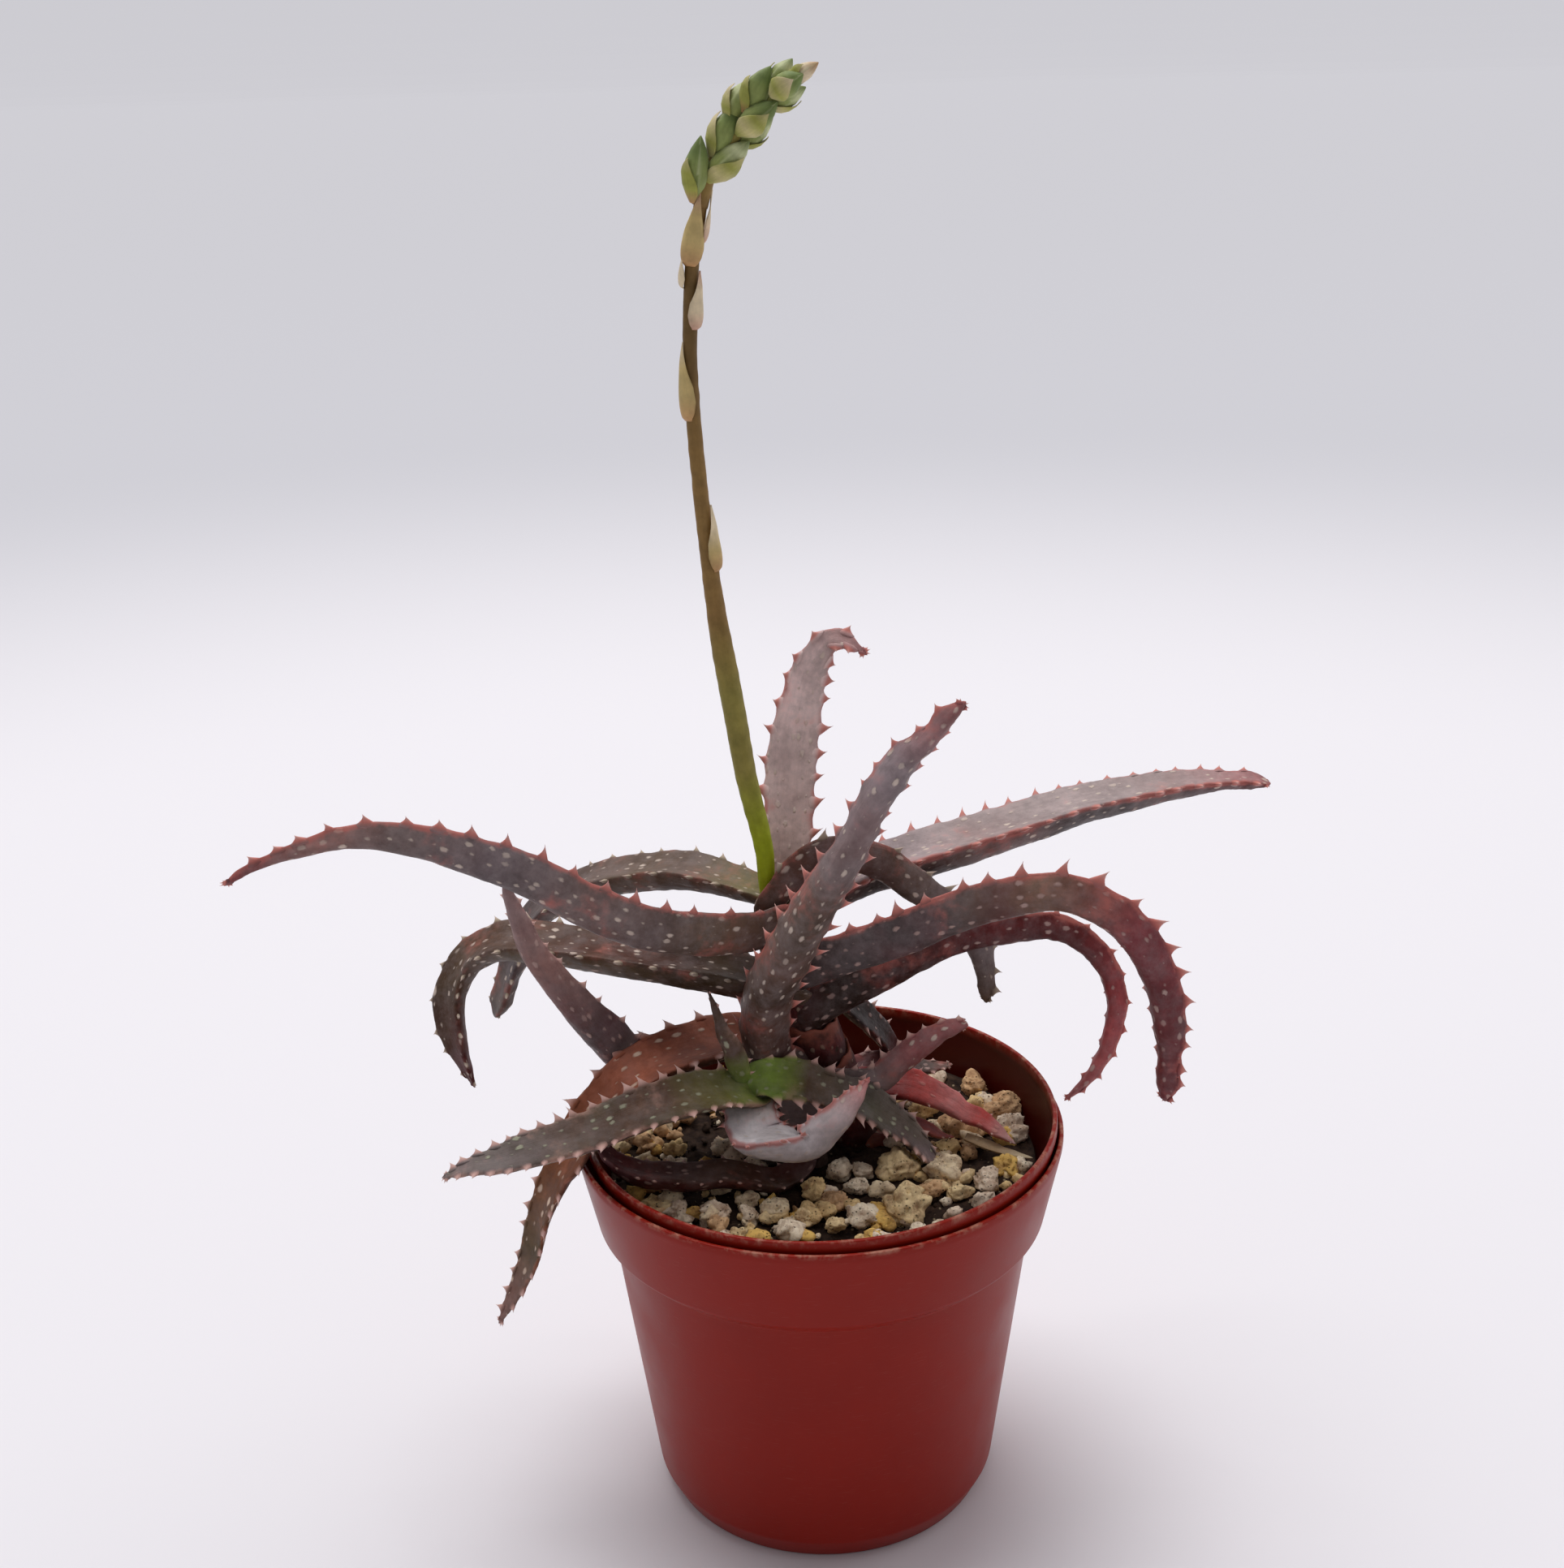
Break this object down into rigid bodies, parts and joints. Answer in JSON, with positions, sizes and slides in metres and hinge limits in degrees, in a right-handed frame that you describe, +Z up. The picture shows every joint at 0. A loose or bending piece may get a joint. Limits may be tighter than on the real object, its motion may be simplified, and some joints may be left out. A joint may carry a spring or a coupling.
{
  "type": "potted aloe hybrid",
  "caption": "Small spotted aloe hybrid with toothed arching leaves, an offset and a tall budding flower stalk, in two nested terracotta-coloured nursery pots.",
  "frame": {"origin": "centre of the outer pot's resting face, at its base", "axes": "+Z up; -Y towards the viewer of the picture, the plant's front"},
  "size_m": [0.184, 0.0898, 0.2591],
  "materials": {
    "terracotta_plastic": "satin",
    "potting_mix": "matte",
    "pumice": "matte",
    "grey_leaf": "satin",
    "brown_leaf": "satin",
    "red_leaf": "satin",
    "rust_leaf": "satin",
    "green_leaf": "satin",
    "bright_red_leaf": "satin",
    "stem_sheath": "satin",
    "stalk": "satin",
    "buds": "matte",
    "straw": "matte"
  },
  "bodies": {
    "root": {"outer_pot": "terracotta_plastic", "inner_pot": "terracotta_plastic", "potting_mix": "potting_mix", "pumice_chips": "pumice", "main_stem": "stem_sheath", "pup_stem": "brown_leaf", "flower_stalk": "stalk", "flower_head": "buds", "leaf_front_upright": "grey_leaf", "leaf_left_long": "grey_leaf", "leaf_right_drooping": "red_leaf", "leaf_right_red_thin": "red_leaf", "leaf_left_drooping": "brown_leaf", "leaf_right_long": "grey_leaf", "leaf_right_curled": "grey_leaf", "leaf_back_left_arched": "brown_leaf", "leaf_back_upright": "grey_leaf", "leaf_left_rising": "red_leaf", "leaf_over_rim": "rust_leaf", "leaf_low_back": "red_leaf", "leaf_low_right": "red_leaf", "leaf_low_red": "bright_red_leaf", "leaf_low_small": "red_leaf", "pup_leaf_left": "green_leaf", "pup_leaf_right": "green_leaf", "pup_leaf_front_curled": "grey_leaf", "pup_leaf_heart": "green_leaf", "pup_leaf_right_raised": "grey_leaf", "pup_leaf_low_left": "red_leaf", "pup_leaf_inner": "grey_leaf", "dried_leaf": "straw"}
  },
  "joints": []
}
